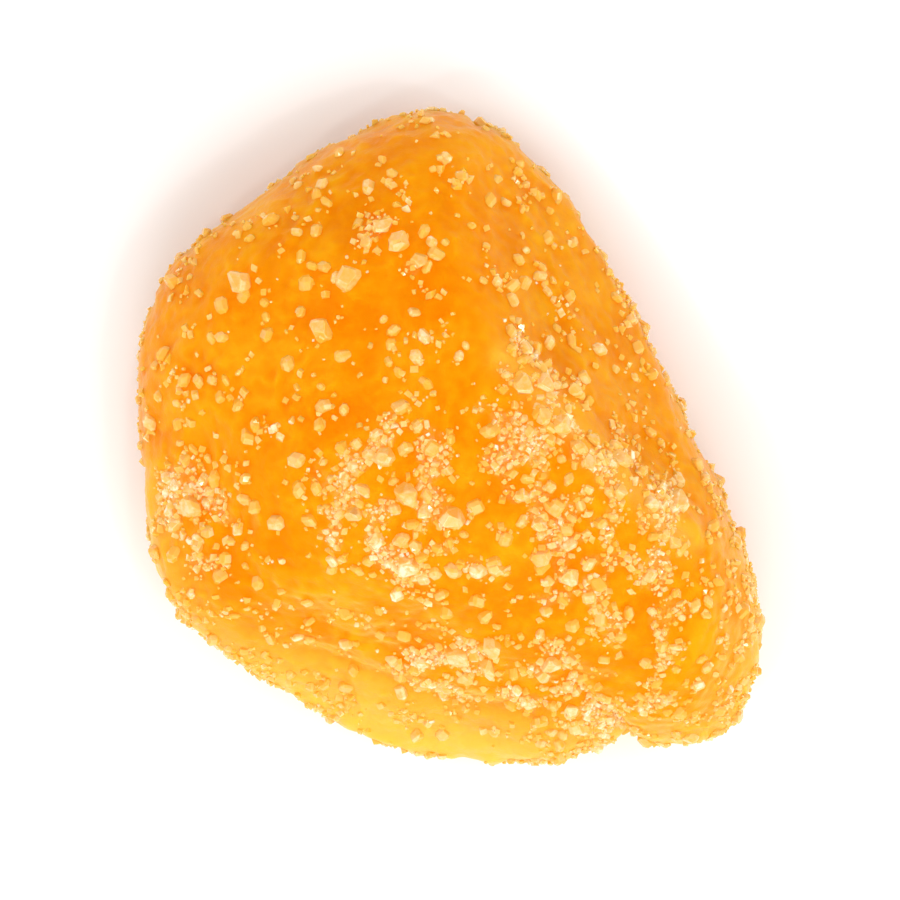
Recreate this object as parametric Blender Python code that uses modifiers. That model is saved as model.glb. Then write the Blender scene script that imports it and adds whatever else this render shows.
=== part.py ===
"""One piece of sugared dried apricot, in metres, +Z up, lying on its flat underside.

The flesh is one soft lump: a round skin side to the left, a knife cut down the right,
a crest between the two and a small folded lobe at the lower right. The largest sugar
crystals sit on it, each a piece of its own. The origin is under the middle of the flesh.
"""

import math
import random

import bmesh
import bpy
from mathutils import Matrix, Vector, noise
from mathutils.bvhtree import BVHTree

MM = 0.001

# Overall sizes of the flesh
WIDTH = 22.7 * MM  # along X
LENGTH = 24.2 * MM  # along Y
HEIGHT = 11.0 * MM

# Outline seen from above: (angle in degrees from +X, radius) around OUTLINE_CENTRE.
# Radii and places below are shares of half the length or, for x, of half the width.
OUTLINE_CENTRE = Vector((0.0, -0.05))
OUTLINE = (
    (0, 0.745), (28, 0.675), (55, 0.755), (75, 0.930), (92, 1.050), (120, 0.985),
    (150, 1.020), (175, 0.940), (205, 0.915), (230, 0.880), (258, 0.915), (284, 0.975),
    (300, 1.030), (313, 1.195), (328, 1.085), (343, 0.915),
)

# Side profile
BELLY_HEIGHT = 2.9 * MM  # where the piece is widest
RIM_HEIGHT = 1.9 * MM  # the same on the thin side, towards -Y
BASE_SHARE = 0.72  # how far out the flat underside reaches
BASE_TURN = math.radians(42)  # the part of the ball that becomes the rounded lower edge
SHOULDER = 2.7  # 2 is an ellipse, more is a fuller shoulder
THIN_SHOULDER = 2.3  # towards -Y

# The top: a summit, falling away on all sides
SUMMIT = Vector((0.26, 0.06))
TOP_FALL = 2.6 * MM  # how much lower the top is one half length from the summit

# Two slanted sides. Each falls away to the right of its edge, walked from start to end.
CREST_START = Vector((0.76, -0.24))  # the knife cut to the right of the crest
CREST_START_HEIGHT = 7.9 * MM
CREST_END = Vector((0.17, 0.33))
CREST_END_HEIGHT = 10.0 * MM
CREST_SLOPE = math.radians(57)
BROW_START = Vector((-0.46, -0.50))  # the slope down to the thin rim
BROW_START_HEIGHT = 6.6 * MM
BROW_END = Vector((0.22, -0.71))
BROW_END_HEIGHT = 6.4 * MM
BROW_SLOPE = math.radians(48)
LEAST_SIDE = 0.22  # share of the height above the belly that a slanted side leaves
EDGE_ROUNDING = 0.6 * MM
CREST_SIDE = (CREST_START, CREST_START_HEIGHT, CREST_END, CREST_END_HEIGHT, CREST_SLOPE)
BROW_SIDE = (BROW_START, BROW_START_HEIGHT, BROW_END, BROW_END_HEIGHT, BROW_SLOPE)

# A shallow hollow in the top, and the crease that divides off the lobe
HOLLOW = Vector((0.24, -0.40))
HOLLOW_RADIUS = 3.2 * MM
HOLLOW_DEPTH = 0.8 * MM
CREASE_START = Vector((0.60, -0.93))
CREASE_END = Vector((0.30, -0.52))
CREASE_WIDTH = 0.75 * MM
CREASE_DEPTH = 1.3 * MM
RIM_CREASE = 0.4  # share of the crease's depth that is left at the rim
NOTCH_ANGLE = math.radians(302)
NOTCH_HALF_ANGLE = math.radians(4.5)
NOTCH_DEPTH = 0.075  # share of half the length

# Soft unevenness of the dried surface
LUMP_SIZE = 4.0 * MM
LUMP_HEIGHT = 0.7 * MM

CAGE_SEGMENTS = 12  # along each side of the cube that the cage starts as
SMOOTHING = 1  # levels of Subdivision Surface

# Sugar crystals
CRYSTAL_LEAST = 0.55 * MM
CRYSTAL_MOST = 0.90 * MM
MIDDLE_SIDE = (0.70, 0.95)  # range of a crystal's middle side, as a share of its longest
SHORT_SIDE = (0.55, 0.80)  # and of its shortest
CRYSTAL_CHAMFER = 0.20  # share of the crystal's shortest side
CRYSTAL_LEAN = 0.25  # shear of the leaning prism that sugar grows as
CRYSTAL_TILT = math.radians(24)  # the most that one stands off the surface
CRYSTAL_ROOM = 1.08  # crystals grown by this much don't meet
SEAT_GAP = 0.03 * MM  # between a crystal and the flesh
SEED = 7

# Where the crystals lie: zone, from, to, spread to either side, and how many
CRYSTAL_ZONES = (
    ("crest", Vector((0.17, 0.33)), Vector((0.76, -0.24)), 0.7 * MM, 13),
    ("middle", Vector((-0.36, -0.06)), Vector((0.42, -0.30)), 2.0 * MM, 14),
    ("lower", Vector((-0.12, -0.56)), Vector((0.44, -0.72)), 1.1 * MM, 9),
    ("left", Vector((-0.84, -0.06)), Vector((-0.78, -0.34)), 0.7 * MM, 5),
    ("upper", Vector((-0.62, 0.40)), Vector((-0.05, 0.66)), 2.2 * MM, 7),
)


def plan_place(share):
    """A place seen from above, from its share of half the width and half the length."""
    return Vector((share.x * WIDTH / 2, share.y * LENGTH / 2))


def smooth_least(a, b, rounding):
    """The lower of two heights, with the edge between them rounded."""
    blend = max(rounding - abs(a - b), 0.0) / rounding
    return min(a, b) - blend * blend * rounding / 4


def outline_radius(azimuth):
    """The outline's radius, on a smooth closed curve through OUTLINE, less the notch."""
    degrees = math.degrees(azimuth) % 360
    count = len(OUTLINE)
    last = max(i for i in range(count) if OUTLINE[i][0] <= degrees)
    knots = []
    for step in (-1, 0, 1, 2):
        turns, index = divmod(last + step, count)
        angle, radius = OUTLINE[index]
        knots.append((angle + 360 * turns, radius))
    (a0, r0), (a1, r1), (a2, r2), (a3, r3) = knots
    span = a2 - a1
    leave = (r2 - r0) / (a2 - a0) * span
    arrive = (r3 - r1) / (a3 - a1) * span
    t = (degrees - a1) / span
    radius = (
        (2 * t**3 - 3 * t**2 + 1) * r1
        + (t**3 - 2 * t**2 + t) * leave
        + (3 * t**2 - 2 * t**3) * r2
        + (t**3 - t**2) * arrive
    )
    from_notch = (azimuth - NOTCH_ANGLE + math.pi) % math.tau - math.pi
    return radius - NOTCH_DEPTH * math.exp(-((from_notch / NOTCH_HALF_ANGLE) ** 2))


def thin_side(azimuth):
    """0 on the thick sides of the piece, rising to 1 towards -Y."""
    return max(0.0, -math.sin(azimuth)) ** 2


def along_segment(point, start, end):
    """How far along a segment a point lies, 0 to 1, and its distance from the segment."""
    run = end - start
    share = min(max((point - start).dot(run) / run.length_squared, 0.0), 1.0)
    return share, (point - start - share * run).length


def top_height(place):
    """The height of the top over a place, before it rounds down to the belly."""
    from_summit = (place - plan_place(SUMMIT)).length / (LENGTH / 2)
    height = HEIGHT - TOP_FALL * from_summit**2
    hollow = (place - plan_place(HOLLOW)).length / HOLLOW_RADIUS
    return height - HOLLOW_DEPTH * math.exp(-(hollow**2))


def slanted_side(place, start, start_height, end, end_height, slope):
    """The height of a slanted side over a place: its edge climbs from start to end."""
    start = plan_place(start)
    run = plan_place(end) - start
    climb = (end_height - start_height) * (place - start).dot(run) / run.length_squared
    outward = Vector((run.y, -run.x)).normalized()
    return start_height + climb - (place - start).dot(outward) * math.tan(slope)


def crease_depth(place):
    start = plan_place(CREASE_START)
    share, distance = along_segment(place, start, plan_place(CREASE_END))
    return CREASE_DEPTH * (1 - share) * math.exp(-((distance / CREASE_WIDTH) ** 2))


def flesh_point(direction):
    """Where a point of the unit ball lies on the flesh."""
    azimuth = math.atan2(direction.y, direction.x)
    lift = math.asin(max(-1.0, min(1.0, direction.z)))
    thin = thin_side(azimuth)
    belly = BELLY_HEIGHT + (RIM_HEIGHT - BELLY_HEIGHT) * thin
    if lift >= 0:
        reach = math.cos(lift)
    elif lift > -BASE_TURN:
        turn = -lift / BASE_TURN * math.pi / 2
        reach = BASE_SHARE + (1 - BASE_SHARE) * math.cos(turn)
    else:
        reach = BASE_SHARE * (math.pi / 2 + lift) / (math.pi / 2 - BASE_TURN)
    radius = outline_radius(azimuth) * reach
    place = plan_place(OUTLINE_CENTRE)
    place += radius * LENGTH / 2 * Vector((math.cos(azimuth), math.sin(azimuth)))
    if lift <= -BASE_TURN:
        return Vector((place.x, place.y, 0.0))
    if lift < 0:
        height = belly * (1 - math.sin(turn))
        return Vector((place.x, place.y, height))
    shoulder = SHOULDER + (THIN_SHOULDER - SHOULDER) * thin
    fullness = max(0.0, 1 - reach**shoulder) ** (1 / shoulder)
    height = belly + (top_height(place) - belly) * fullness
    for side in (CREST_SIDE, BROW_SIDE):
        least = belly + LEAST_SIDE * (height - belly)
        slanted = -smooth_least(-slanted_side(place, *side), -least, EDGE_ROUNDING)
        height = smooth_least(height, slanted, EDGE_ROUNDING)
    height -= crease_depth(place) * (RIM_CREASE + (1 - RIM_CREASE) * fullness)
    lumps = noise.noise(Vector((place.x, place.y, height)) / LUMP_SIZE)
    height += LUMP_HEIGHT * lumps * fullness
    return Vector((place.x, place.y, height))


def ball_cage(segments):
    """A unit ball of evenly sized quads, made from a divided cube."""
    cage = bmesh.new()
    bmesh.ops.create_cube(cage, size=2.0)
    bmesh.ops.subdivide_edges(
        cage, edges=cage.edges[:], cuts=segments - 1, use_grid_fill=True
    )
    for vert in cage.verts:
        vert.co = Vector([math.tan(value * math.pi / 4) for value in vert.co])
        vert.co.normalize()
    return cage


def principled(name, color, roughness, **more):
    material = bpy.data.materials.new(name)
    material.use_nodes = True
    shader = material.node_tree.nodes["Principled BSDF"]
    shader.inputs["Base Color"].default_value = (*color, 1.0)
    shader.inputs["Roughness"].default_value = roughness
    for socket, value in more.items():
        shader.inputs[socket.replace("_", " ")].default_value = value
    material.diffuse_color = (*color, 1.0)
    return material


def add_object(name, bm, material, collection):
    mesh = bpy.data.meshes.new(name)
    bm.to_mesh(mesh)
    bm.free()
    mesh.materials.append(material)
    obj = bpy.data.objects.new(name, mesh)
    collection.objects.link(obj)
    return obj


def finished_box(obj):
    """The lowest and highest corner of an object with its modifiers."""
    graph = bpy.context.evaluated_depsgraph_get()
    corners = [Vector(v.co) for v in obj.evaluated_get(graph).data.vertices]
    lowest = Vector([min(c[axis] for c in corners) for axis in range(3)])
    highest = Vector([max(c[axis] for c in corners) for axis in range(3)])
    return lowest, highest


def make_flesh(collection):
    cage = ball_cage(CAGE_SEGMENTS)
    for vert in cage.verts:
        vert.co = flesh_point(vert.co)
    material = principled("candied_flesh", (0.90, 0.33, 0.012), 0.36, IOR=1.47)
    flesh = add_object("apricot_flesh", cage, material, collection)
    flesh.data.shade_smooth()
    soften = flesh.modifiers.new("soften", "SUBSURF")
    soften.levels = SMOOTHING
    soften.render_levels = SMOOTHING
    # Subdivision draws the cage in a little, so the cage is stretched to the exact sizes.
    lowest, highest = finished_box(flesh)
    size = highest - lowest
    flesh.data.transform(
        Matrix.Diagonal((WIDTH / size.x, LENGTH / size.y, HEIGHT / size.z, 1.0))
        @ Matrix.Translation(-Vector((*((lowest + highest) / 2).xy, lowest.z)))
    )
    return flesh


def crystal_mesh(sides):
    """A leaning, chamfered block that stands on the XY plane."""
    block = bmesh.new()
    bmesh.ops.create_cube(block, size=1.0)
    chamfer = CRYSTAL_CHAMFER * min(sides)
    lean = Matrix.Identity(4)
    lean[0][2] = CRYSTAL_LEAN
    bmesh.ops.transform(
        block, matrix=lean @ Matrix.Diagonal((*sides, 1.0)), verts=block.verts
    )
    bmesh.ops.bevel(
        block, geom=block.edges[:], offset=chamfer, affect="EDGES", segments=1,
        profile=0.5, material=-1,
    )
    bmesh.ops.translate(block, vec=(0.0, 0.0, sides.z / 2), verts=block.verts)
    return block


def seat(block, place, normal, spin, tilt, surface):
    """Turns a block onto the flesh and lowers it until it is SEAT_GAP clear of it."""
    turn = normal.to_track_quat("Z", "Y").to_matrix().to_4x4()
    turn @= Matrix.Rotation(spin, 4, "Z") @ Matrix.Rotation(tilt, 4, "X")
    pose = Matrix.Translation(place) @ turn
    clear = math.inf
    for vert in block.verts:
        corner = pose @ vert.co
        nearest, outward, _, _ = surface.find_nearest(corner)
        clear = min(clear, (corner - nearest).dot(outward))
    return Matrix.Translation(normal * (SEAT_GAP - clear)) @ pose


def room_of(block, pose):
    """The space that a crystal keeps for itself, as a search tree of its faces."""
    corners = [pose @ (vert.co * CRYSTAL_ROOM) for vert in block.verts]
    faces = [[vert.index for vert in face.verts] for face in block.faces]
    return BVHTree.FromPolygons(corners, faces)


def make_crystals(flesh, collection):
    draw = random.Random(SEED)
    surface = BVHTree.FromObject(flesh, bpy.context.evaluated_depsgraph_get())
    material = principled("sugar_crystal", (0.95, 0.87, 0.74), 0.22, IOR=1.54)
    rooms = []
    for zone, start, end, spread, count in CRYSTAL_ZONES:
        start = plan_place(start)
        run = plan_place(end) - start
        aside = Vector((-run.y, run.x)).normalized()
        made = 0
        while made < count:
            plan = start + run * draw.random() + aside * spread * draw.uniform(-1, 1)
            size = draw.uniform(CRYSTAL_LEAST, CRYSTAL_MOST)
            middle = size * draw.uniform(*MIDDLE_SIDE)
            short = size * draw.uniform(*SHORT_SIDE)
            spin = draw.uniform(0, math.tau)
            tilt = CRYSTAL_TILT * draw.uniform(-1, 1)
            above = Vector((plan.x, plan.y, 2 * HEIGHT))
            place, normal, _, _ = surface.ray_cast(above, Vector((0, 0, -1)))
            if place is None:
                continue
            block = crystal_mesh(Vector((size, middle, short)))
            pose = seat(block, place, normal, spin, tilt, surface)
            room = room_of(block, pose)
            if any(room.overlap(other) for other in rooms):
                block.free()
                continue
            made += 1
            crystal = add_object(f"sugar_{zone}_{made:02d}", block, material, collection)
            crystal.matrix_world = pose
            rooms.append(room)


def main():
    for obj in list(bpy.data.objects):
        bpy.data.objects.remove(obj, do_unlink=True)
    collection = bpy.data.collections.new("dried_apricot")
    bpy.context.scene.collection.children.link(collection)
    flesh = make_flesh(collection)
    make_crystals(flesh, collection)


if __name__ == "__main__":
    main()
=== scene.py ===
"""The looks of one piece of sugared dried apricot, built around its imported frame.

The flesh is candied, soft and half clear. Sugar of four sizes sticks to it: the large crystals
are the frame's own pieces and get their finish here, and the grains and dust are made here.
"""

import itertools
import math

import bmesh
import bpy
import numpy as np
from bpy.props import FloatProperty, FloatVectorProperty, IntProperty, PointerProperty
from bpy.types import Operator, Panel, PropertyGroup
from mathutils import Euler, Matrix, Vector, noise
from mathutils.bvhtree import BVHTree


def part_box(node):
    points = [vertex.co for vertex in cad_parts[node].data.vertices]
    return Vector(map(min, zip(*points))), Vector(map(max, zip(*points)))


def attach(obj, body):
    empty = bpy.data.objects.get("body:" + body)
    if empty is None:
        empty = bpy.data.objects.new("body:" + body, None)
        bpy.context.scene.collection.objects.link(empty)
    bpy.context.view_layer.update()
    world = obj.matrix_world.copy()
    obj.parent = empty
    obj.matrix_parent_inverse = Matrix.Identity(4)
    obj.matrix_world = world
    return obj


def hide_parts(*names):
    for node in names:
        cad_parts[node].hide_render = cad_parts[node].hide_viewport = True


bl_info = {
    "name": "Sugared dried apricot",
    "version": (1, 0, 0),
    "blender": (4, 5, 0),
    "location": "View3D > Sidebar > Apricot",
    "description": "Finishes one piece of candied dried apricot and its sugar",
    "category": "Object",
}

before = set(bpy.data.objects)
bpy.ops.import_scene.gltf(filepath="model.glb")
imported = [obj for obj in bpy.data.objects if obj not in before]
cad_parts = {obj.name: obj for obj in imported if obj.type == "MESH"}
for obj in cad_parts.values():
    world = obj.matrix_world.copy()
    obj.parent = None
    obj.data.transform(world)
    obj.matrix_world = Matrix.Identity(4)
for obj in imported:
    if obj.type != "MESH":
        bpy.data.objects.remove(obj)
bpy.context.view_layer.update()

MM = 0.001
BODY = "root"
FLESH_NODE = "apricot_flesh"
CRYSTALS = sorted(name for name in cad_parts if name.startswith("sugar_"))
LOW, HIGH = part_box(FLESH_NODE)
MIDDLE = (LOW + HIGH) / 2
HALF_WIDTH = (HIGH.x - LOW.x) / 2
HALF_LENGTH = (HIGH.y - LOW.y) / 2

# Lines and places on the flesh, from above, as shares of half the width and half the length
CREST = ((0.76, -0.24), (0.17, 0.33))
CREASE = ((0.60, -0.93), (0.30, -0.52))
BULGE = (-0.88, -0.45)
BROW = ((-0.46, -0.52), (-0.10, -0.66), (0.24, -0.73))

# Patterns in the flesh and the sugar: the size of their lumps, their seed, and how far they are
# drawn out along X, Y and Z
EVEN = (1.0, 1.0, 1.0)
PATTERNS = {
    "swells": (3.0 * MM, 1.0, EVEN),
    "ripples": (1.5 * MM, 2.0, EVEN),
    "sugar_patches": (3.5 * MM, 3.0, EVEN),
    "wrinkles": (1.1 * MM, 4.0, (1.0, 2.0, 1.4)),
    "sugar_lumps": (1.2 * MM, 5.0, EVEN),
    "smooth_patches": (4.0 * MM, 6.0, EVEN),
    "pits": (0.33 * MM, 7.0, EVEN),
    "crest_notches": (0.8 * MM, 8.0, EVEN),
    "sugar_clumps": (0.5 * MM, 9.0, EVEN),
    "crease_bends": (1.2 * MM, 10.0, EVEN),
    "scallops": (1.1 * MM, 11.0, EVEN),
    "wrinkle_bends": (2.2 * MM, 12.0, EVEN),
    "fine_wrinkles": (0.60 * MM, 14.0, (1.3, 1.0, 1.0)),
    "folds": (2.3 * MM, 15.0, (1.0, 1.0, 1.7)),
    "fold_bends": (2.0 * MM, 16.0, EVEN),
}

# A slope is a range of the height of the skin's normal, which is 1 where it faces up, 0 on an
# upright wall and -1 underneath. A thing fades in from the first figure to the second.

# The flesh's mesh
SAME_PLACE = 0.001 * MM  # corners closer than this are one
QUAD_BEND = math.radians(40)  # two triangles that are bent or skewed less become one face
QUAD_SKEW = math.radians(60)
ROUNDING_LEVELS = 2
SMOOTH_SHARE = 0.5
SMOOTH_ROUNDS = 12
REST_SLOPE = (0.55, 0.95)  # of the normal turned over: the flat underside
FLAT_UNDER = 0.999  # the underside's faces that are this level are joined

# The flesh's relief
LIFT = 0.06 * MM
SWELL_HEIGHT = 0.15 * MM
RIPPLE_HEIGHT = 0.08 * MM
TOP_SLOPE = (0.0, 0.6)
CREST_HEIGHT = 0.26 * MM
CREST_WIDTH = 0.6 * MM
CREST_NOTCHES = (0.6, 0.8)  # the mean share of the crest's height, and how much it varies
CREASE_BEND = 0.22 * MM
CREASE_DEPTH = 0.55 * MM
CREASE_WIDTH = 0.32 * MM
# The brow, and the groove under it: how far in front of the line, how high, and how wide
BROW_RELIEF = ((0.25 * MM, 0.12 * MM, 0.45 * MM), (1.0 * MM, -0.16 * MM, 0.40 * MM))
BULGE_HEIGHT = 0.55 * MM
BULGE_WIDTH = 2.6 * MM
BULGE_SLOPE = (0.2, 0.9)
FOLD_BEND = 0.6 * MM
FOLD_DEPTH = 1.0 * MM
FOLD_MOST = 0.30  # past this share a fold is flat
FOLD_MEAN = 0.14
# The folds' share that is lost on the way up, and the slope where it is
FOLD_FADES = ((0.65, (-0.25, 0.1)), (0.35, (0.2, 0.7)))
RIM_HEIGHT = (3.0 * MM, 5.0 * MM)
RIM_FACING = (-0.2, 0.5)
SCALLOP_DEPTH = 0.16 * MM
FOOT_HEIGHT = 0.16 * MM
FOOT_WIDTH = 0.55 * MM

# The skin's fine texture
SKIN_DEPTH = 0.075 * MM
WRINKLE_BEND = 0.5 * MM
WRINKLE_SHARPNESS = 3.2
SMOOTHEST = 0.35  # share of the wrinkles that is left in the smoothest patches
SMOOTH_PATCHES = (-0.30, 0.30)
WRINKLE_SHARE = 0.50
FINE_WRINKLE_SHARE = 0.32
PIT_SHARE = 0.5

# Painted glow: where the flesh is thin it is painted paler, as light shining through it, most of
# all on the rim's thin side
THIN_SIDE = np.array([-0.12, -0.99])  # the way that the thin rim faces, from above
THIN_FACING = (-0.1, 0.6)
THIN_ELSEWHERE = 0.12  # share of the paleness on the other sides
THIN_DEPTH = (2.4 * MM, 7.5 * MM)  # flesh this thick is palest, and is as deep as any
RAY_START = 0.02 * MM
LEAST_THICKNESS = 0.1 * MM
DEPTH_ROUNDS = 40  # rounds of averaging of the thickness
EDGE_GLOW = 0.75
EDGE_SLOPE = (0.25, 0.75)
LOW_GLOW = 0.25  # share of the glow low on the walls, where light has more flesh to pass
LOW_SLOPE = (-0.40, 0.10)
# The crest gets the painted glow too
CREST_GLOW = 0.6  # the crest is a thin edge too
CREST_GLOW_WIDTH = 0.5 * MM
CREST_SLOPE = (0.2, 0.6)

# Sugar zones: how far sugar spreads round a zone's large crystals, and how thickly it lies
ZONES = {
    "crest": (0.9 * MM, 0.9),
    "middle": (1.6 * MM, 0.66),
    "lower": (1.2 * MM, 0.8),
    "left": (1.0 * MM, 0.65),
    "upper": (0.7 * MM, 0.30),
}
# Sugar that lies along a line instead: the line, how far it spreads, and how thickly it lies
DRIFTS = (
    (((0.20, 0.28), (0.50, 0.00), (0.70, -0.34)), 0.45 * MM, 0.95),
    (((0.12, 0.10), (0.42, 0.05)), 1.4 * MM, 0.85),
    (((0.42, 0.06), (0.56, -0.36)), 2.3 * MM, 0.40),
    (((0.10, -0.20), (0.66, -0.58)), 2.0 * MM, 0.40),
    (((0.60, -0.93), (0.36, -0.60)), 0.6 * MM, 0.65),
    (((-0.16, -0.63), (0.24, -0.73)), 0.5 * MM, 0.45),
    (((0.62, -0.74), (0.84, -0.80)), 1.2 * MM, 0.45),
)
# A line that little sugar lies along, how far round it, and the share that is missing
BARE = (((-0.42, -0.34), (-0.20, -0.42), (0.02, -0.42)), 1.2 * MM, 0.85)
LEAST_COVER = 0.10
SIDE_COVER = 0.44
WALL_SLOPE = (0.15, 0.75)
SUGARED_SIDE = Vector((0.5, -0.86, 0.0))  # the walls that face this way hold more
SUGARED_FACING = (-0.2, 0.8)
LEAST_FACING = 0.08  # share of the walls' sugar on the other sides
UNDER_COVER = 0.55  # low on the walls, where they turn in towards the floor
UNDER_SLOPE = (-0.40, -0.10)
BARE_SLOPE = (-0.75, -0.35)  # none sticks underneath
# Sugar lies in clumps: the share of the small ones, the least cover, its rise, and where it rises
CLUMP_SHARE = 0.6
CLUMP_LEAST = 0.12
CLUMP_RISE = 1.1
CLUMP_EDGE = (-0.12, 0.38)
PATCH_MEAN = 0.85
PATCH_SWING = 0.9
PATCH_LIMITS = (0.25, 1.3)
FILM_ROUNDS = 4  # rounds of averaging that turn the cover into a film

# Grains: name, smallest and largest size, share that is sunk in the flesh, how closely they keep
# to the sugared zones, the share that is missing from the walls, and the seed
GRAINS = (
    ("sugar_coarse", 0.36 * MM, 0.72 * MM, 0.54, 0.55, 0.85, 11),
    ("sugar_fine", 0.17 * MM, 0.34 * MM, 0.50, 1.55, 0.0, 12),
    ("sugar_dust", 0.08 * MM, 0.15 * MM, 0.30, 1.3, 0.0, 13),
)
ROUNDED_GRAINS = "sugar_coarse"
GRAIN_SHAPES = 8
# A grain's shape, as shares of its length
GRAIN_LEAN = (0.3, 0.2)
GRAIN_BREADTH = (0.65, 0.95)
GRAIN_THICKNESS = (0.55, 0.85)
GRAIN_CORNERS = (0.78, 1.05)  # how far out its corners are
GRAIN_ROUNDING = (0.12, 0.2)
WORN_CHANCE = 0.5
WORN_DEPTH = (0.15, 0.3)
GRAIN_SPACING = 0.42  # of the two sizes together: grains may touch, and don't share a place
GRAIN_TRIES = 4  # places drawn for each grain
WALL_UPRIGHT = 0.1  # the height of a wall's normal, and how far it may be from that
WALL_SPREAD = 0.3

# How white sugar is, 0 to 1: at its least, how much more under a full film, and how it varies
GRAIN_DRYNESS = (0.06, 0.75, 0.18)
CRYSTAL_DRYNESS = (0.30, 0.6)
LEAST_DRYNESS = 0.05
DRY_SHARE = 0.07  # share of the grains that stay dry and white
DRY_EXTRA = 0.5
# Sugar is painted amber towards its foot: partly syrup that wets it, partly painted see-through
# of the flesh under it
SEAT_FROST = 0.25  # share of the whiteness that is left where sugar sinks in
SEAT = (-0.05, 0.45)  # where the whiteness rises, as shares of the size above the flesh

# The large crystals
CRYSTAL_SEED = 21
FACET_BEND = math.radians(5)  # triangles that are bent less are one facet
FACET_SKEW = math.radians(180)
CRYSTAL_WEAR = 0.03 * MM  # how far their edges are worn back
WEAR_SEGMENTS = 2
CHIPPED_SHARE = 0.40  # share of their corners that are chipped off
CHIP_DEPTH = (0.06 * MM, 0.18 * MM)
CHIP_LEAN = 0.3
CHIP_SLIVER = 0.01 * MM  # cuts closer together than this are one
CRYSTAL_PIT_SIZE = 0.25 * MM
CRYSTAL_PIT_DEPTH = 0.07 * MM

# Sizes in the materials
PULP_SIZE = 2.5 * MM  # from one cloudy streak of pulp to the next
SPECK_SIZE = 0.2 * MM  # the sugar's finest specks; real ones are finer than shows
SPECK_DEPTH = 0.04 * MM
CLOUD_SIZE = 0.22 * MM  # from one cloudy part of a crystal to the next
SUGAR_GLOW_DEPTH = 0.25 * MM
# The pattern that paints the facets' reflection and see-through
FACET_SCALE = 2.6  # for a pattern over the directions that facets can face
# Places of the flesh's three tones on its ramp, which follows the pulp's streaks and the skin's
# relief: the hollow tone is partly painted shade, the bright tone partly painted light
SHADED_HOLLOW_TONE = 0.04
BODY_TONE = 0.22
LIT_RIDGE_TONE = 0.62

# The colour sockets of a Mix node, whose names its other sockets share
MIX_A = 6
MIX_B = 7
MIX_RESULT = 2

FLOOR_SIZE = 3.0
FLOOR_DROP = 0.005 * MM
SENSOR = 36.0
CLIP_RATIO = 100
WORLD_LIGHT = 0.62
CARD_COLOUR = "FBFAF9"
# Softboxes: name, azimuth, elevation, distance, side, power in watts
SOFTBOXES = (
    ("key", 12, 52, 0.45, 0.35, 1.0),
    ("fill_left", -105, 40, 0.50, 0.30, 0.55),
    ("fill_right", 85, 40, 0.50, 0.30, 0.58),
    ("glint_left", -50, 62, 0.45, 0.03, 0.14),
    ("glint_right", 60, 66, 0.45, 0.03, 0.12),
    ("glint_back", 165, 58, 0.45, 0.03, 0.10),
)


def linear(hex_colour):
    """An sRGB hex value as linear red, green and blue."""
    values = [int(hex_colour[i : i + 2], 16) / 255 for i in (0, 2, 4)]
    return tuple(v / 12.92 if v <= 0.04045 else ((v + 0.055) / 1.055) ** 2.4 for v in values)


def opaque(colour):
    """A colour with its alpha, as a colour socket takes it."""
    return (*colour, 1.0)


def colour_property(name, description, hex_colour):
    """A colour that the user can change."""
    return FloatVectorProperty(
        name=name, description=description, subtype="COLOR", size=3, min=0.0, max=1.0,
        default=linear(hex_colour),
    )


class FleshSettings(PropertyGroup):
    """Colours and sizes of the flesh"""

    body_colour: colour_property("Body", "Thick candied flesh", "EE9304")
    # Hollow is partly painted shade in the skin's hollows, Bright partly painted light on its
    # ridges
    shaded_hollow_colour: colour_property("Hollow", "Where syrup gathers", "E98802")
    lit_ridge_colour: colour_property("Bright", "Where light gathers in the flesh", "F2A20D")
    # Thin is painted glow, the colour of flesh that light shines through
    thin_glow_colour: colour_property("Thin", "Flesh thin enough to let light through", "F5BE48")
    haze_colour: colour_property("Haze", "Flesh under a film of sugar", "F6D6A2")
    gloss_colour: colour_property("Gloss", "Light off the syrup in the skin", "F8B348")
    mesh_size: FloatProperty(
        name="Mesh size", description="Side of the skin's faces", default=0.125 * MM,
        min=0.1 * MM, unit="LENGTH",
    )
    glow_depth: FloatProperty(
        name="Glow depth", description="How far red light spreads in the flesh",
        default=3.5 * MM, unit="LENGTH",
    )


class SugarSettings(PropertyGroup):
    """Colours and numbers of the sugar"""

    frost_colour: colour_property("Frost", "Dry sugar", "F5E7C3")
    # Syrup is also the painted see-through of the flesh at the sugar's foot and on its facets
    syrup_colour: colour_property("Syrup", "Sugar wetted by the flesh", "F2B136")
    coarse_count: IntProperty(name="Coarse grains", description="How many", default=520)
    fine_count: IntProperty(name="Fine grains", description="How many", default=2400)
    dust_count: IntProperty(name="Dust grains", description="How many", default=3200)


class StageSettings(PropertyGroup):
    """The camera's view"""

    view_width: FloatProperty(
        name="View width", description="Width that the camera takes in", default=33.0 * MM,
        unit="LENGTH",
    )
    view_tilt: FloatProperty(
        name="View tilt", description="How far the view leans from straight down",
        default=math.radians(7), unit="ROTATION",
    )
    lens: FloatProperty(name="Lens", description="Focal length in mm", default=300.0)


def add_node(tree, kind, inputs=None, **settings):
    """Adds a node with its settings, and sets or links its inputs."""
    node = tree.nodes.new(kind)
    for name, value in settings.items():
        setattr(node, name, value)
    for socket, value in (inputs or {}).items():
        if isinstance(value, bpy.types.NodeSocket):
            tree.links.new(value, node.inputs[socket])
        else:
            node.inputs[socket].default_value = value
    return node


def new_material(name):
    """A new material and its empty node tree."""
    material = bpy.data.materials.new(name)
    material.use_nodes = True
    material.node_tree.nodes.clear()
    return material, material.node_tree


def add_piece(name, mesh, material):
    """A finished piece that rides on the part."""
    mesh.materials.clear()
    mesh.materials.append(material)
    piece = bpy.data.objects.new(name, mesh)
    bpy.context.scene.collection.objects.link(piece)
    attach(piece, BODY)
    return piece


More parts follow.
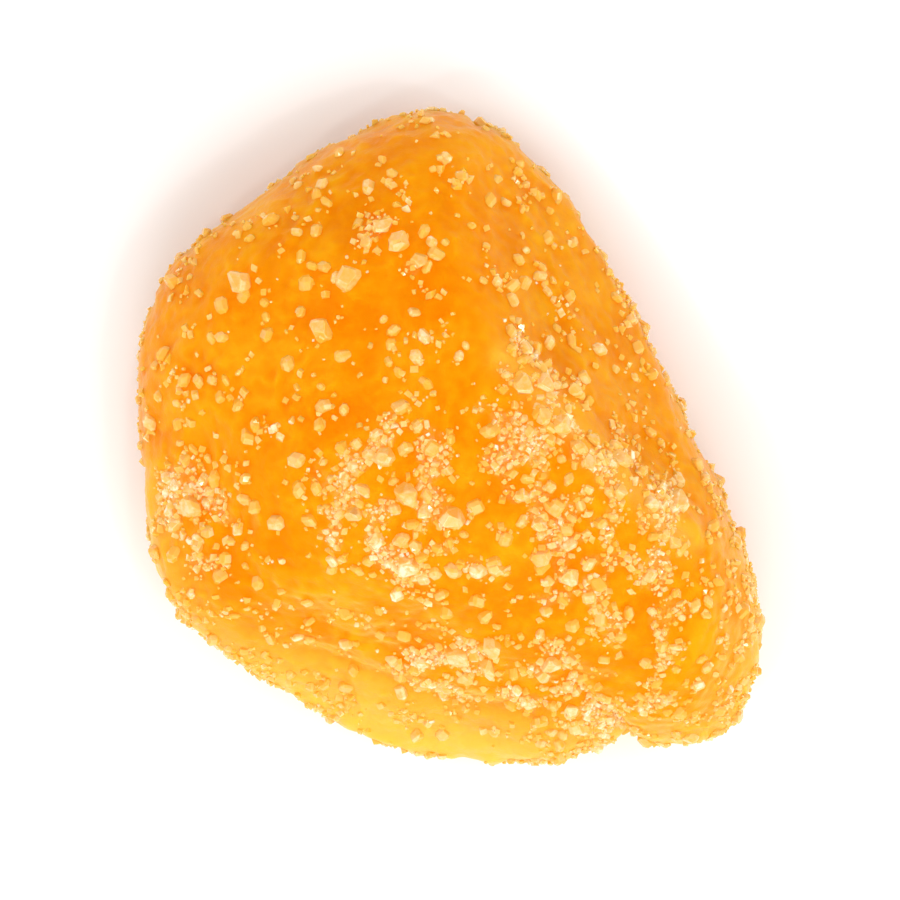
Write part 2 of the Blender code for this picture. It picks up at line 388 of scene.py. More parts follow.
def mesh_array(mesh, layer="co"):
    """The vertices' places, or their normals, as an array."""
    values = np.empty(len(mesh.vertices) * 3, np.float32)
    source = mesh.vertices if layer == "co" else mesh.vertex_normals
    source.foreach_get("co" if layer == "co" else "vector", values)
    return values.reshape(-1, 3).astype(float)


def set_attribute(mesh, name, values):
    """Keeps a value at each vertex, for the materials and the sugar."""
    layer = mesh.attributes.get(name) or mesh.attributes.new(name, "FLOAT", "POINT")
    layer.data.foreach_set("value", np.asarray(values, np.float32))


def attribute(mesh, name):
    """The values that set_attribute kept."""
    values = np.empty(len(mesh.vertices), np.float32)
    mesh.attributes[name].data.foreach_get("value", values)
    return values.astype(float)


def plan(share):
    """A place from above, from its share of half the width and half the length."""
    return np.array([MIDDLE.x + share[0] * HALF_WIDTH, MIDDLE.y + share[1] * HALF_LENGTH])


def distance_to_line(places, line):
    """Each place's distance from a line of points seen from above, and how far along it is."""
    nearest = np.full(len(places), np.inf)
    along = np.zeros(len(places))
    points = [plan(share) for share in line]
    pieces = len(points) - 1
    for i, (start, end) in enumerate(zip(points, points[1:])):
        run = end - start
        t = np.clip((places[:, :2] - start) @ run / (run @ run), 0, 1)
        distance = np.linalg.norm(places[:, :2] - start - t[:, None] * run, axis=1)
        closer = distance < nearest
        nearest[closer] = distance[closer]
        along[closer] = (i + t[closer]) / pieces
    return nearest, along


def bell(distance, width):
    """1 at no distance, and next to nothing past twice the width."""
    return np.exp(-((distance / width) ** 2))


def pattern(places, name):
    """One of the patterns at each place, about -1 to 1."""
    size, seed, stretch = PATTERNS[name]
    scaled = places / (np.array(stretch) * size) + seed
    return np.array([noise.noise(place) for place in scaled])


def bent(places, depth, name):
    """The places moved by a pattern, so that a line drawn there wavers."""
    return places + (depth * pattern(places, name))[:, None]


def steps(values, low, high):
    """A smooth step from 0 at low to 1 at high."""
    t = np.clip((values - low) / (high - low), 0, 1)
    return t * t * (3 - 2 * t)


def crystal_places():
    """The middle of each large crystal, and its zone."""
    places = {zone: [] for zone in ZONES}
    for name in CRYSTALS:
        low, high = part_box(name)
        places[name.split("_")[1]].append((low + high) / 2)
    return {zone: np.array(found) for zone, found in places.items()}


def sugar_cover(places, normals):
    """How thickly sugar lies at each place, 0 to 1."""
    side = 1 - steps(normals[:, 2], *WALL_SLOPE)
    facing = steps(normals @ np.array(SUGARED_SIDE), *SUGARED_FACING)
    facing = LEAST_FACING + (1 - LEAST_FACING) * facing
    cover = LEAST_COVER + (SIDE_COVER * facing - LEAST_COVER) * side
    for zone, found in crystal_places().items():
        reach, most = ZONES[zone]
        bare = np.ones(len(places))
        for place in found:
            bare *= 1 - bell(np.linalg.norm(places - place, axis=1), reach)
        cover = np.maximum(cover, most * (1 - bare))
    for line, reach, most in DRIFTS:
        distance, _ = distance_to_line(places, line)
        cover = np.maximum(cover, most * bell(distance, reach) * (1 - side))
    line, reach, missing = BARE
    distance, _ = distance_to_line(places, line)
    cover = cover * (1 - missing * bell(distance, reach))
    cover = np.maximum(cover, UNDER_COVER * (1 - steps(normals[:, 2], *UNDER_SLOPE)))
    lumps = pattern(places, "sugar_lumps") + CLUMP_SHARE * pattern(places, "sugar_clumps")
    clumps = CLUMP_LEAST + CLUMP_RISE * steps(lumps, *CLUMP_EDGE)
    patches = PATCH_MEAN + PATCH_SWING * pattern(places, "sugar_patches")
    cover = cover * np.clip(patches, *PATCH_LIMITS) * clumps
    return np.clip(cover, 0, 1) * steps(normals[:, 2], *BARE_SLOPE)


def spread_out(values, edges, rounds):
    """Values averaged with their neighbours' a number of times."""
    count = np.bincount(edges.ravel(), minlength=len(values))
    for _ in range(rounds):
        total = np.bincount(edges[:, 0], values[edges[:, 1]], len(values))
        total += np.bincount(edges[:, 1], values[edges[:, 0]], len(values))
        values = (values + total / count) / 2
    return values


def refined_flesh(mesh_size):
    """The frame's flesh with rounder faces, as one even mesh."""
    shape = bmesh.new()
    shape.from_mesh(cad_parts[FLESH_NODE].data)
    bmesh.ops.remove_doubles(shape, verts=shape.verts, dist=SAME_PLACE)
    bmesh.ops.join_triangles(
        shape, faces=shape.faces, angle_face_threshold=QUAD_BEND,
        angle_shape_threshold=QUAD_SKEW,
    )
    mesh = bpy.data.meshes.new("flesh_cage")
    shape.to_mesh(mesh)
    shape.free()
    cage = bpy.data.objects.new("flesh_cage", mesh)
    bpy.context.scene.collection.objects.link(cage)
    rounding = cage.modifiers.new("rounding", "SUBSURF")
    rounding.levels = ROUNDING_LEVELS
    rounding.render_levels = ROUNDING_LEVELS
    remesh = cage.modifiers.new("even", "REMESH")
    remesh.mode = "VOXEL"
    remesh.voxel_size = mesh_size
    remesh.use_smooth_shade = True
    smooth = cage.modifiers.new("smooth", "SMOOTH")
    smooth.factor = SMOOTH_SHARE
    smooth.iterations = SMOOTH_ROUNDS
    graph = bpy.context.evaluated_depsgraph_get()
    even = bpy.data.meshes.new_from_object(cage.evaluated_get(graph))
    bpy.data.objects.remove(cage)
    even.name = "candied_flesh"
    return even


def join_underside(mesh):
    """Joins faces of the flat underside, so that the mesh stays under 200,000 triangles."""
    shape = bmesh.new()
    shape.from_mesh(mesh)
    flat = [
        vert for vert in shape.verts
        if all(face.normal.z < -FLAT_UNDER for face in vert.link_faces)
    ]
    bmesh.ops.unsubdivide(shape, verts=flat, iterations=1)
    shape.to_mesh(mesh)
    shape.free()


def skin_texture(places):
    """The skin's fine wrinkles and pits, about -1 in the hollows to 1 on the ridges."""
    wavy = bent(places, WRINKLE_BEND, "wrinkle_bends")
    wrinkles = 1 - WRINKLE_SHARPNESS * np.abs(pattern(wavy, "wrinkles"))
    fine = 1 - WRINKLE_SHARPNESS * np.abs(pattern(wavy, "fine_wrinkles"))
    patches = steps(pattern(places, "smooth_patches"), *SMOOTH_PATCHES)
    patches = SMOOTHEST + (1 - SMOOTHEST) * patches
    texture = WRINKLE_SHARE * wrinkles * patches + FINE_WRINKLE_SHARE * fine * patches
    return np.clip(texture + PIT_SHARE * pattern(places, "pits"), -1, 1)


def flesh_relief(places, normals):
    """How far each point of the skin stands out from the plain flesh."""
    top = steps(normals[:, 2], *TOP_SLOPE)
    relief = LIFT + SWELL_HEIGHT * pattern(places, "swells")
    relief += RIPPLE_HEIGHT * pattern(places, "ripples")
    # The crest is a ragged cut edge
    crest, _ = distance_to_line(places, CREST)
    mean, swing = CREST_NOTCHES
    ragged = mean + swing * pattern(places, "crest_notches")
    relief += CREST_HEIGHT * bell(crest, CREST_WIDTH) * ragged * top
    # The crease that divides off the lobe, and notches the rim
    crease, along = distance_to_line(bent(places, CREASE_BEND, "crease_bends"), CREASE)
    relief -= CREASE_DEPTH * bell(crease, CREASE_WIDTH) * (1 - along)
    # The brow overhangs the thin rim a little
    for ahead, height, width in BROW_RELIEF:
        brow, _ = distance_to_line(places + np.array([0.0, ahead, 0.0]), BROW)
        relief += height * bell(brow, width) * top
    # The flesh bulges low on its left
    bulge = np.linalg.norm(places[:, :2] - plan(BULGE), axis=1)
    relief += BULGE_HEIGHT * bell(bulge, BULGE_WIDTH) * (1 - steps(normals[:, 2], *BULGE_SLOPE))
    # The walls are creased and puckered, most of all low down
    folded = np.ones(len(places))
    for share, slope in FOLD_FADES:
        folded -= share * steps(normals[:, 2], *slope)
    folds = np.abs(pattern(bent(places, FOLD_BEND, "fold_bends"), "folds"))
    relief += FOLD_DEPTH * (np.minimum(folds, FOLD_MOST) - FOLD_MEAN) * folded
    # The thin rim is scalloped
    rim = (1 - steps(places[:, 2], *RIM_HEIGHT)) * steps(-normals[:, 1], *RIM_FACING)
    relief += SCALLOP_DEPTH * pattern(places, "scallops") * rim
    # The flesh wets the large crystals' feet
    for found in crystal_places().values():
        for place in found:
            away = np.linalg.norm(places - place, axis=1)
            relief += FOOT_HEIGHT * bell(away, FOOT_WIDTH)
    return relief


def thickness(mesh, places, normals):
    """How thick the flesh is at each point of the skin, inwards and straight down together."""
    faces = [tuple(face.vertices) for face in mesh.polygons]
    tree = BVHTree.FromPolygons(places.tolist(), faces)
    down = Vector((0, 0, -1))
    found = np.empty(len(places))
    for i, (place, normal) in enumerate(zip(places, normals)):
        inward = -Vector(normal)
        start = Vector(place) + inward * RAY_START
        _, _, _, through = tree.ray_cast(start, inward)
        _, _, _, under = tree.ray_cast(start, down)
        through = max(through or 0.0, LEAST_THICKNESS)
        under = max(under or 0.0, LEAST_THICKNESS)
        found[i] = 2 / (1 / through + 1 / under)
    return found


def painted_thin_glow(places, normals, depth):
    """How pale the painted glow makes the flesh for being thin, 0 to 1: only the rim on the thin
    side is.
    """
    outward = places[:, :2] - np.array(MIDDLE.xy)
    outward /= np.linalg.norm(outward, axis=1)[:, None]
    on_side = THIN_ELSEWHERE + (1 - THIN_ELSEWHERE) * steps(outward @ THIN_SIDE, *THIN_FACING)
    edge = EDGE_GLOW * (1 - steps(normals[:, 2], *EDGE_SLOPE))
    return np.maximum(1 - steps(depth, *THIN_DEPTH), edge) * on_side


def flesh_material(settings):
    """Candied apricot, cooked in syrup and dried: half clear, so light glows through it."""
    material, tree = new_material("candied_apricot_flesh")
    place = add_node(tree, "ShaderNodeTexCoord").outputs["Object"]
    thin = add_node(tree, "ShaderNodeAttribute", attribute_name="painted_thin_glow").outputs["Fac"]
    film = add_node(tree, "ShaderNodeAttribute", attribute_name="sugar_film").outputs["Fac"]
    ridge_shading = add_node(tree, "ShaderNodeAttribute", attribute_name="ridge_shading").outputs["Fac"]
    # Cloudy and clear streaks of pulp
    pulp = add_node(
        tree, "ShaderNodeTexNoise",
        {"Vector": place, "Scale": 1 / PULP_SIZE, "Detail": 5.0, "Roughness": 0.62},
    )
    clear = add_node(
        tree, "ShaderNodeMapRange",
        {"Value": pulp.outputs["Fac"], "From Min": 0.36, "From Max": 0.66},
    )
    # Painted shade and light: the skin's hollows are painted the darker tone and its ridges the
    # brighter one, mixed with the pulp's streaks
    light = add_node(
        tree, "ShaderNodeMath", {0: clear.outputs["Result"], 1: ridge_shading}, operation="MULTIPLY"
    )
    tone = add_node(tree, "ShaderNodeValToRGB", {"Fac": light.outputs[0]})
    stops = tone.color_ramp.elements
    stops[0].position = SHADED_HOLLOW_TONE
    stops[0].color = opaque(settings.shaded_hollow_colour)
    stops[1].position = LIT_RIDGE_TONE
    stops[1].color = opaque(settings.lit_ridge_colour)
    stops.new(BODY_TONE).color = opaque(settings.body_colour)
    # Painted glow: the thin rim and the crest are painted paler, as if light shone through them
    flesh = add_node(
        tree, "ShaderNodeMix",
        {"Factor": thin, MIX_A: tone.outputs["Color"], MIX_B: opaque(settings.thin_glow_colour)},
        data_type="RGBA",
    )
    # The film of sugar is made of specks too fine to show, drawn as coarse as they need to be
    specks = add_node(
        tree, "ShaderNodeTexNoise",
        {"Vector": place, "Scale": 1 / SPECK_SIZE, "Detail": 3.0, "Roughness": 0.65},
    )
    speckled = add_node(
        tree, "ShaderNodeMapRange",
        {"Value": specks.outputs["Fac"], "From Min": 0.42, "From Max": 0.62, "To Min": 0.08,
         "To Max": 0.5},
    )
    covered = add_node(
        tree, "ShaderNodeMapRange", {"Value": film, "From Min": 0.14, "From Max": 0.9}
    )
    haze = add_node(
        tree, "ShaderNodeMath", {0: speckled.outputs["Result"], 1: covered.outputs["Result"]},
        operation="MULTIPLY", use_clamp=True,
    )
    colour = add_node(
        tree, "ShaderNodeMix",
        {"Factor": haze.outputs[0], MIX_A: flesh.outputs[MIX_RESULT],
         MIX_B: opaque(settings.haze_colour)},
        data_type="RGBA",
    )
    rough = add_node(
        tree, "ShaderNodeMapRange",
        {"Value": haze.outputs[0], "To Min": 0.30, "To Max": 0.60},
    )
    skin = add_node(
        tree, "ShaderNodeBump",
        {"Height": specks.outputs["Fac"], "Strength": 0.8, "Distance": SPECK_DEPTH},
    )
    shader = add_node(
        tree, "ShaderNodeBsdfPrincipled",
        {"Base Color": colour.outputs[MIX_RESULT], "Roughness": rough.outputs["Result"],
         "Normal": skin.outputs["Normal"], "IOR": 1.46, "Specular IOR Level": 0.14,
         "Specular Tint": opaque(settings.gloss_colour),
         "Subsurface Weight": 0.82, "Subsurface Radius": (1.0, 0.34, 0.08),
         "Subsurface Scale": settings.glow_depth},
        subsurface_method="RANDOM_WALK",
    )
    add_node(tree, "ShaderNodeOutputMaterial", {"Surface": shader.outputs["BSDF"]})
    return material


def sugar_material(settings):
    """Granulated sugar: clear crystals that look white, and amber where syrup wets them and where
    the flesh is painted as seen through them.
    """
    material, tree = new_material("granulated_sugar")
    place = add_node(tree, "ShaderNodeTexCoord").outputs["Object"]
    frost = add_node(tree, "ShaderNodeAttribute", attribute_name="frost").outputs["Fac"]
    # Clear and cloudy parts of a crystal
    cloud = add_node(
        tree, "ShaderNodeTexNoise",
        {"Vector": place, "Scale": 1 / CLOUD_SIZE, "Detail": 4.0, "Roughness": 0.6},
    )
    cloudy = add_node(
        tree, "ShaderNodeMapRange",
        {"Value": cloud.outputs["Fac"], "From Min": 0.38, "From Max": 0.60, "To Min": 0.35,
         "To Max": 1.25},
    )
    # Painted reflection and see-through: by the way it faces, each facet is painted whiter, as
    # light off it, or more amber, as the flesh seen through it
    normal = add_node(tree, "ShaderNodeNewGeometry").outputs["True Normal"]
    facet = add_node(
        tree, "ShaderNodeTexNoise", {"Vector": normal, "Scale": FACET_SCALE, "Detail": 0.0}
    )
    painted_facet_light = add_node(
        tree, "ShaderNodeMapRange",
        {"Value": facet.outputs["Fac"], "From Min": 0.34, "From Max": 0.62, "To Min": 0.35,
         "To Max": 1.25},
    )
    white = add_node(
        tree, "ShaderNodeMath",
        {0: cloudy.outputs["Result"], 1: painted_facet_light.outputs["Result"]}, operation="MULTIPLY",
    )
    dry = add_node(
        tree, "ShaderNodeMath", {0: frost, 1: white.outputs[0]}, operation="MULTIPLY",
        use_clamp=True,
    )
    colour = add_node(
        tree, "ShaderNodeMix",
        {"Factor": dry.outputs[0], MIX_A: opaque(settings.syrup_colour),
         MIX_B: opaque(settings.frost_colour)},
        data_type="RGBA",
    )
    shader = add_node(
        tree, "ShaderNodeBsdfPrincipled",
        {"Base Color": colour.outputs[MIX_RESULT], "Roughness": 0.14, "IOR": 1.54,
         "Subsurface Weight": 0.7, "Subsurface Radius": (1.0, 0.8, 0.6),
         "Subsurface Scale": SUGAR_GLOW_DEPTH},
        subsurface_method="RANDOM_WALK",
    )
    add_node(tree, "ShaderNodeOutputMaterial", {"Surface": shader.outputs["BSDF"]})
    return material


def frost_with_painted_see_through(above, size, dryness):
    """How white sugar is at a height above its seat: amber where it sinks in, partly syrup and
    partly painted see-through of the flesh, white on top.
    """
    risen = SEAT_FROST + (1 - SEAT_FROST) * steps(above / size, *SEAT)
    return np.clip(dryness * risen, 0, 1)


def from_lowest(face):
    """A face's corners, the same way round, from the one with the lowest number on."""
    corners = [vert.index for vert in face.verts]
    first = corners.index(min(corners))
    return corners[first:] + corners[:first]


def grain_shape(draw, rounded):
    """A sugar crystal one unit across: a leaning block with worn corners, or worn all round."""
    grain = bmesh.new()
    bmesh.ops.create_cube(grain, size=1.0)
    lean = Matrix.Identity(4)
    for axis, most in enumerate(GRAIN_LEAN):
        lean[axis][2] = draw.uniform(-most, most)
    sides = (1.0, draw.uniform(*GRAIN_BREADTH), draw.uniform(*GRAIN_THICKNESS), 1.0)
    bmesh.ops.transform(grain, matrix=lean @ Matrix.Diagonal(sides), verts=grain.verts)
    for vert in grain.verts:
        vert.co *= draw.uniform(*GRAIN_CORNERS)
    if rounded:
        bmesh.ops.bevel(
            grain, geom=grain.edges[:], offset=draw.uniform(*GRAIN_ROUNDING),
            affect="EDGES", segments=1, profile=0.5, material=-1,
        )
    else:
        worn = [vert for vert in grain.verts if draw.random() < WORN_CHANCE]
        bmesh.ops.bevel(
            grain, geom=worn, offset=draw.uniform(*WORN_DEPTH), affect="VERTICES", segments=1,
            profile=0.5, material=-1,
        )
    bmesh.ops.triangulate(grain, faces=grain.faces)
    bmesh.ops.recalc_face_normals(grain, faces=grain.faces)
    grain.verts.index_update()
    corners = np.array([vert.co for vert in grain.verts])
    # The operators give the same faces each time, but not in the same order
    faces = np.array(sorted(from_lowest(face) for face in grain.faces))
    grain.free()
    return corners, faces


def scattered_places(flesh, count, contrast, missing, least, most, draw):
    """Where grains land on the flesh: their place, the way out, their size and the film there."""
    flesh.calc_loop_triangles()
    corners = np.empty(len(flesh.loop_triangles) * 3, np.int32)
    flesh.loop_triangles.foreach_get("vertices", corners)
    corners = corners.reshape(-1, 3)
    places = mesh_array(flesh)
    normals = mesh_array(flesh, "normal")
    a, b, c = (places[corners[:, k]] for k in range(3))
    area = np.linalg.norm(np.cross(b - a, c - a), axis=1)
    cover = attribute(flesh, "sugar_cover")[corners].mean(axis=1)
    film = attribute(flesh, "sugar_film")[corners].mean(axis=1)
    upright = normals[corners, 2].mean(axis=1)
    on_wall = bell(upright - WALL_UPRIGHT, WALL_SPREAD)
    weight = area * cover**contrast * (1 - missing * on_wall)
    chosen = draw.choice(len(corners), size=GRAIN_TRIES * count, p=weight / weight.sum())
    mix = draw.dirichlet((1, 1, 1), size=len(chosen))
    spots = (places[corners[chosen]] * mix[:, :, None]).sum(axis=1)
    outward = (normals[corners[chosen]] * mix[:, :, None]).sum(axis=1)
    outward /= np.linalg.norm(outward, axis=1)[:, None]
    sizes = draw.uniform(least, most, len(chosen))
    # Only the grains in the cells round a place can be too close to it
    taken = {}
    kept = []
    for i, (spot, size) in enumerate(zip(spots, sizes)):
        x, y, z = (int(part) for part in spot // most)
        cells = itertools.product((x - 1, x, x + 1), (y - 1, y, y + 1), (z - 1, z, z + 1))
        near = [j for cell in cells for j in taken.get(cell, ())]
        if any(np.linalg.norm(spots[j] - spot) < GRAIN_SPACING * (sizes[j] + size) for j in near):
            continue
        taken.setdefault((x, y, z), []).append(i)
        kept.append(i)
        if len(kept) == count:
            break
    return spots[kept], outward[kept], sizes[kept], film[chosen][kept]


def scattered_grains(name, flesh, count, least, most, sunk, contrast, missing, seed):
    """One mesh of sugar grains that stick to the flesh."""
    draw = np.random.default_rng(seed)
    shapes = [grain_shape(draw, name == ROUNDED_GRAINS) for _ in range(GRAIN_SHAPES)]
    found = scattered_places(flesh, count, contrast, missing, least, most, draw)
    base, rise, spread = GRAIN_DRYNESS
    all_places = []
    all_faces = []
    all_frost = []
    start = 0
    for spot, out, size, film in zip(*found):
        corners, faces = shapes[draw.integers(len(shapes))]
        turn = np.array(Euler(draw.uniform(0, math.tau, 3)).to_matrix())
        grain = corners @ turn.T * size
        height = grain @ out
        grain = grain + spot + out * (-height.min() - sunk * np.ptp(height))
        dryness = base + rise * film + draw.normal(0, spread)
        if draw.random() < DRY_SHARE:
            dryness += DRY_EXTRA
        all_places.append(grain)
        all_faces.append(faces + start)
        all_frost.append(frost_with_painted_see_through((grain - spot) @ out, size, max(dryness, LEAST_DRYNESS)))
        start += len(corners)
    mesh = bpy.data.meshes.new(name)
    mesh.from_pydata(np.concatenate(all_places), [], np.concatenate(all_faces))
    set_attribute(mesh, "frost", np.concatenate(all_frost))
    mesh.update()
    return mesh


def worn_crystal(node, name, surface, faces, film, draw):
    """A large crystal of the frame, chipped and worn, as a mesh of its own."""
    crystal = bmesh.new()
    crystal.from_mesh(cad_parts[node].data)
    bmesh.ops.remove_doubles(crystal, verts=crystal.verts, dist=SAME_PLACE)
    bmesh.ops.join_triangles(
        crystal, faces=crystal.faces, angle_face_threshold=FACET_BEND,
        angle_shape_threshold=FACET_SKEW,
    )
    middle = sum((vert.co for vert in crystal.verts), Vector()) / len(crystal.verts)
    for corner in [vert.co.copy() for vert in crystal.verts]:
        if draw.random() < CHIPPED_SHARE:
            lean = Vector(draw.uniform(-CHIP_LEAN, CHIP_LEAN, 3))
            out = ((corner - middle).normalized() + lean).normalized()
            cut = corner - out * draw.uniform(*CHIP_DEPTH)
            found = bmesh.ops.bisect_plane(
                crystal, geom=[*crystal.verts, *crystal.edges, *crystal.faces], plane_co=cut,
                plane_no=out, clear_outer=True,
            )
            rim = [item for item in found["geom_cut"] if isinstance(item, bmesh.types.BMEdge)]
            if rim:
                bmesh.ops.holes_fill(crystal, edges=rim, sides=0)
    bmesh.ops.remove_doubles(crystal, verts=crystal.verts, dist=CHIP_SLIVER)
    bmesh.ops.bevel(
        crystal, geom=crystal.edges[:], offset=CRYSTAL_WEAR, affect="EDGES",
        segments=WEAR_SEGMENTS, profile=0.5, material=-1, clamp_overlap=True,
    )
    bmesh.ops.recalc_face_normals(crystal, faces=crystal.faces)
    crystal.normal_update()
    for vert in crystal.verts:
        vert.co += vert.normal * CRYSTAL_PIT_DEPTH * noise.noise(vert.co / CRYSTAL_PIT_SIZE)
    mesh = bpy.data.meshes.new(name)
    crystal.to_mesh(mesh)
    crystal.free()
    places = mesh_array(mesh)
    size = np.ptp(places, axis=0).max()
    spot, out, face, _ = surface.find_nearest(places.mean(axis=0))
    above = (places - np.array(spot)) @ np.array(out)
    base, rise = CRYSTAL_DRYNESS
    dryness = base + rise * film[list(faces[face])].mean()
    set_attribute(mesh, "frost", frost_with_painted_see_through(above, size, dryness))
    return mesh


class APRICOT_OT_flesh(Operator):
    """Makes the candied flesh and hides the plain one"""

    bl_idname = "apricot.flesh"
    bl_label = "Candied flesh"
    bl_options = {"REGISTER", "UNDO"}

    def execute(self, context):
        settings = context.scene.apricot_flesh
        mesh = refined_flesh(settings.mesh_size)
        places = mesh_array(mesh)
        normals = mesh_array(mesh, "normal")
        # The underside rests flat, so it stays smooth and the relief fades out round it
        rests = steps(-normals[:, 2], *REST_SLOPE)[:, None]
        texture = skin_texture(places)
        relief = flesh_relief(places, normals) + SKIN_DEPTH * texture
        places = places + normals * relief[:, None] * (1 - rests)
        places[:, 2] = np.maximum(places[:, 2], LOW.z)
        mesh.vertices.foreach_set("co", places.astype(np.float32).ravel())
        mesh.update()
        normals = mesh_array(mesh, "normal")
        edges = np.empty(len(mesh.edges) * 2, np.int32)
        mesh.edges.foreach_get("vertices", edges)
        edges = edges.reshape(-1, 2)
        cover = sugar_cover(places, normals)
        # Painted shade in the skin's hollows and painted light on its ridges are drawn from this
        set_attribute(mesh, "ridge_shading", 0.5 + 0.5 * texture)  # 0 to 1
        set_attribute(mesh, "sugar_cover", cover)
        set_attribute(mesh, "sugar_film", spread_out(cover, edges, FILM_ROUNDS))
        depth = spread_out(thickness(mesh, places, normals), edges, DEPTH_ROUNDS)
        # Painted glow along the crest and on the thin rim, less of it low on the walls
        crest, _ = distance_to_line(places, CREST)
        pale = CREST_GLOW * bell(crest, CREST_GLOW_WIDTH) * steps(normals[:, 2], *CREST_SLOPE)
        lit = LOW_GLOW + (1 - LOW_GLOW) * steps(normals[:, 2], *LOW_SLOPE)
        set_attribute(mesh, "painted_thin_glow", np.maximum(painted_thin_glow(places, normals, depth) * lit, pale))
        join_underside(mesh)
        mesh.shade_smooth()
        flesh = add_piece("candied_flesh", mesh, flesh_material(settings))
        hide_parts(FLESH_NODE)
        return {"FINISHED"}


class APRICOT_OT_crystals(Operator):
    """Makes the large sugar crystals, chipped and worn, and hides the plain ones"""

    bl_idname = "apricot.crystals"
    bl_label = "Large crystals"
    bl_options = {"REGISTER", "UNDO"}

    def execute(self, context):
        flesh = bpy.data.meshes["candied_flesh"]
        material = sugar_material(context.scene.apricot_sugar)
        faces = [tuple(face.vertices) for face in flesh.polygons]
        surface = BVHTree.FromPolygons(mesh_array(flesh).tolist(), faces)
        film = attribute(flesh, "sugar_film")
        draw = np.random.default_rng(CRYSTAL_SEED)
        for node in CRYSTALS:
            name = node.replace("sugar_", "crystal_")
            mesh = worn_crystal(node, name, surface, faces, film, draw)
            crystal = add_piece(name, mesh, material)
            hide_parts(node)
            crystal.visible_shadow = False  # real sugar lets light through
        return {"FINISHED"}


class APRICOT_OT_grains(Operator):
    """Scatters the grains and the dust of sugar over the flesh"""

    bl_idname = "apricot.grains"
    bl_label = "Sugar grains"
    bl_options = {"REGISTER", "UNDO"}

    def execute(self, context):
        settings = context.scene.apricot_sugar
        counts = (settings.coarse_count, settings.fine_count, settings.dust_count)
        flesh = bpy.data.meshes["candied_flesh"]
        material = bpy.data.materials["granulated_sugar"]
        for (name, *shape), count in zip(GRAINS, counts):
            mesh = scattered_grains(name, flesh, count, *shape)
            grains = add_piece(name, mesh, material)
            grains.visible_shadow = False  # real sugar lets light through
        return {"FINISHED"}


def floor_material():
    """Matt white card, which gives no reflection of the piece."""
    material, tree = new_material("white_card")
    shader = add_node(
        tree, "ShaderNodeBsdfPrincipled",
        {"Base Color": opaque(linear(CARD_COLOUR)), "Roughness": 0.9,
         "Specular IOR Level": 0.1},
    )
    add_node(tree, "ShaderNodeOutputMaterial", {"Surface": shader.outputs["BSDF"]})
    return material


def add_softbox(name, azimuth, elevation, distance, side, power):
    """A square lamp that faces the piece. Azimuth 0 is towards -Y."""
    data = bpy.data.lights.new(name, "AREA")
    data.shape = "SQUARE"
    data.size = side
    data.energy = power
    lamp = bpy.data.objects.new(name, data)
    bpy.context.scene.collection.objects.link(lamp)
    azimuth, elevation = math.radians(azimuth), math.radians(elevation)
    out = Vector((
        math.sin(azimuth) * math.cos(elevation), -math.cos(azimuth) * math.cos(elevation),
        math.sin(elevation),
    ))
    lamp.location = MIDDLE + out * distance
    lamp.rotation_euler = out.to_track_quat("Z", "Y").to_euler()
    lamp.visible_camera = False


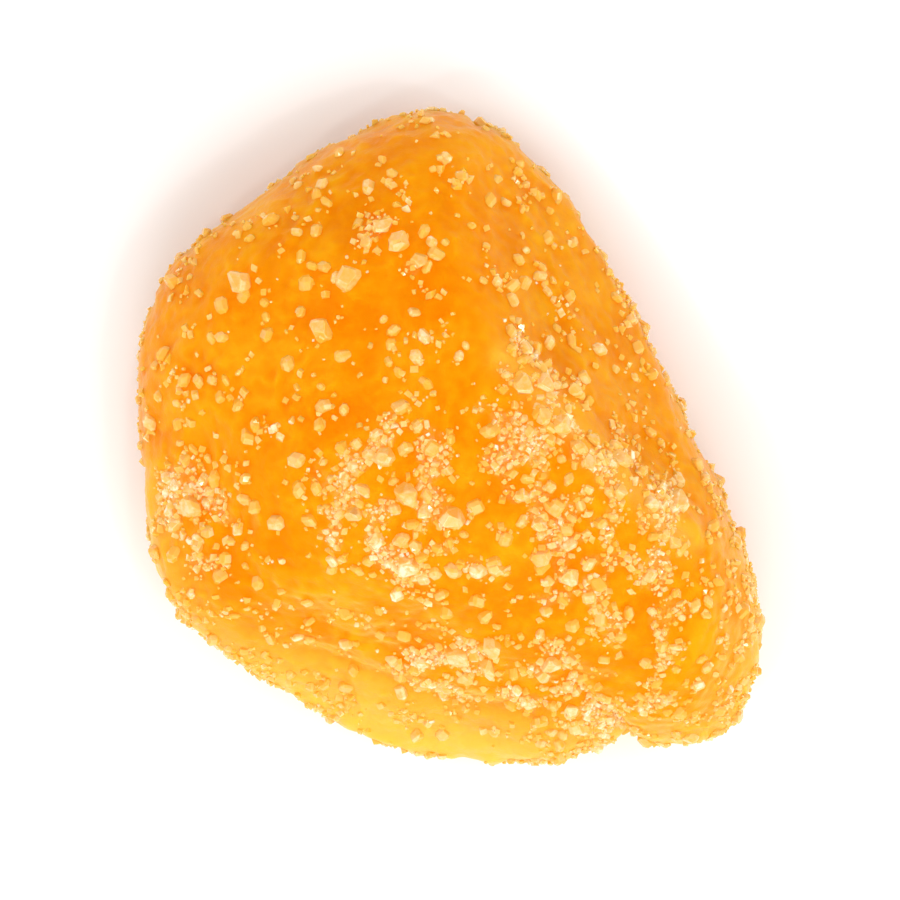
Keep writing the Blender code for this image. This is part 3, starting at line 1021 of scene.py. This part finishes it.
class APRICOT_OT_stage(Operator):
    """Sets the floor, the lights and the camera"""

    bl_idname = "apricot.stage"
    bl_label = "Stage"
    bl_options = {"REGISTER", "UNDO"}

    def execute(self, context):
        settings = context.scene.apricot_stage
        scene = context.scene
        card = bmesh.new()
        bmesh.ops.create_grid(card, x_segments=1, y_segments=1, size=FLOOR_SIZE / 2)
        bmesh.ops.translate(card, vec=(0, 0, LOW.z - FLOOR_DROP), verts=card.verts)
        mesh = bpy.data.meshes.new("floor")
        card.to_mesh(mesh)
        card.free()
        mesh.materials.append(floor_material())
        floor = bpy.data.objects.new("floor", mesh)
        scene.collection.objects.link(floor)

        world = bpy.data.worlds.new("light_tent")
        world.use_nodes = True
        sky = world.node_tree.nodes["Background"]
        sky.inputs["Color"].default_value = opaque((1, 1, 1))
        sky.inputs["Strength"].default_value = WORLD_LIGHT
        scene.world = world
        for lamp in SOFTBOXES:
            add_softbox(*lamp)

        data = bpy.data.cameras.new("camera")
        data.lens = settings.lens
        data.sensor_width = SENSOR
        camera = bpy.data.objects.new("camera", data)
        scene.collection.objects.link(camera)
        distance = settings.view_width * settings.lens / SENSOR
        back = Vector((0, math.sin(settings.view_tilt), math.cos(settings.view_tilt)))
        camera.location = MIDDLE + back * distance
        camera.rotation_euler = (-settings.view_tilt, 0, 0)
        data.clip_start = distance / CLIP_RATIO
        data.clip_end = distance * CLIP_RATIO
        scene.camera = camera
        scene.view_settings.view_transform = "Standard"
        return {"FINISHED"}


class APRICOT_PT_panel(Panel):
    """Steps and settings for the apricot piece"""

    bl_idname = "APRICOT_PT_panel"
    bl_label = "Dried apricot"
    bl_space_type = "VIEW_3D"
    bl_region_type = "UI"
    bl_category = "Apricot"

    def draw(self, context):
        for name in GROUPS:
            group = getattr(context.scene, name)
            box = self.layout.box()
            for setting in group.__annotations__:
                box.prop(group, setting)
        for step in STEPS:
            self.layout.operator(step.bl_idname)


STEPS = (APRICOT_OT_flesh, APRICOT_OT_crystals, APRICOT_OT_grains, APRICOT_OT_stage)
GROUPS = {
    "apricot_flesh": FleshSettings,
    "apricot_sugar": SugarSettings,
    "apricot_stage": StageSettings,
}


def register():
    """Registers the classes and the settings."""
    for cls in (*GROUPS.values(), *STEPS, APRICOT_PT_panel):
        bpy.utils.register_class(cls)
    for name, group in GROUPS.items():
        setattr(bpy.types.Scene, name, PointerProperty(type=group))


def unregister():
    """Takes them out again."""
    for name in GROUPS:
        delattr(bpy.types.Scene, name)
    for cls in reversed((*GROUPS.values(), *STEPS, APRICOT_PT_panel)):
        bpy.utils.unregister_class(cls)


def main():
    """Builds the piece and its stage."""
    register()
    bpy.ops.apricot.flesh()
    bpy.ops.apricot.crystals()
    bpy.ops.apricot.grains()
    bpy.ops.apricot.stage()


if __name__ == "__main__":
    main()
